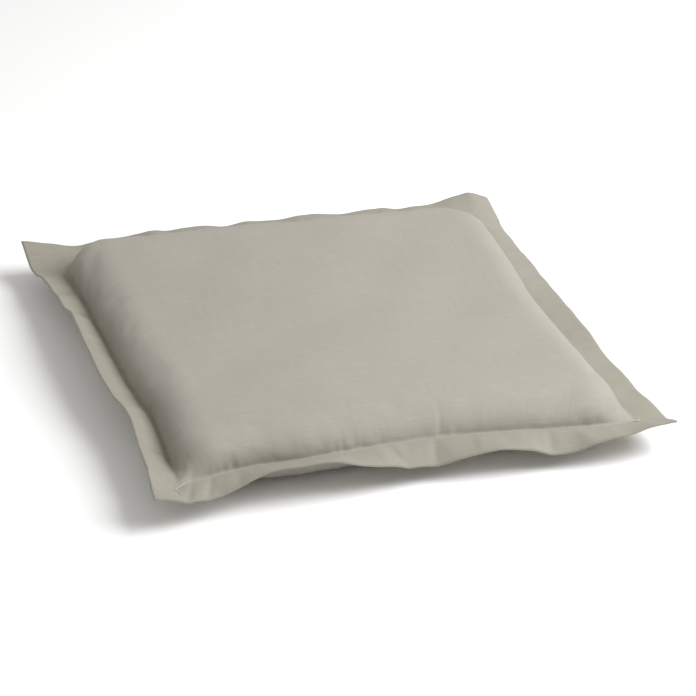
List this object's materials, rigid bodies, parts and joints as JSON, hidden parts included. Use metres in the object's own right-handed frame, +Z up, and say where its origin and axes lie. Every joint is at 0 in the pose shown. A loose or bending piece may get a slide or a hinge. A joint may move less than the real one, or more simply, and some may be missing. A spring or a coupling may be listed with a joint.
{
  "type": "floor cushion",
  "caption": "Square flat floor cushion with a flanged edge, a zipped woven cover and a wadded foam insert.",
  "frame": {"origin": "on the floor under the centre of the cushion", "axes": "+Z up; X and Y along the sides; the zip runs along X under the base, nearer the +Y side"},
  "size_m": [0.5, 0.5, 0.06],
  "materials": {
    "cover_fabric": "slubby plain weave",
    "cover_thread": "spun thread",
    "zip_tape": "woven tape",
    "zip_coil": "nylon monofilament",
    "slider_metal": "satin enamel",
    "case_fabric": "spunbonded sheet",
    "wadding": "lofty polyester fibre",
    "foam": "open-cell foam"
  },
  "bodies": {
    "cushion": {"cover_top_panel": "cover_fabric", "cover_base_front_panel": "cover_fabric", "cover_base_rear_panel": "cover_fabric", "edge_seam_thread": "cover_thread", "topstitch_upper_thread": "cover_thread", "topstitch_lower_thread": "cover_thread", "corner_backtacks": "cover_thread", "zip_tape_front": "zip_tape", "zip_tape_rear": "zip_tape", "zip_coil_front": "zip_coil", "zip_coil_rear": "zip_coil", "zip_stitching_front": "cover_thread", "zip_stitching_rear": "cover_thread", "zip_end_bartacks": "cover_thread", "zip_top_stops": "zip_coil", "zip_bottom_stop": "zip_coil", "insert_case_top": "case_fabric", "insert_case_base": "case_fabric", "wadding_top": "wadding", "wadding_base": "wadding", "foam_core": "foam"},
    "slider": {"zip_slider": "slider_metal"},
    "pull_tab": {"zip_pull_tab": "slider_metal"}
  },
  "joints": [
    {"name": "zip_slide", "type": "slide", "parent": "cushion", "child": "slider", "axis": [1, 0, 0], "range_m": [0, 0.368]},
    {"name": "pull_tab_hinge", "type": "hinge", "parent": "slider", "child": "pull_tab", "pos_m": [-0.184, 0.15, 0.0041], "axis": [0, 1, 0], "range_deg": [0, 170]}
  ]
}
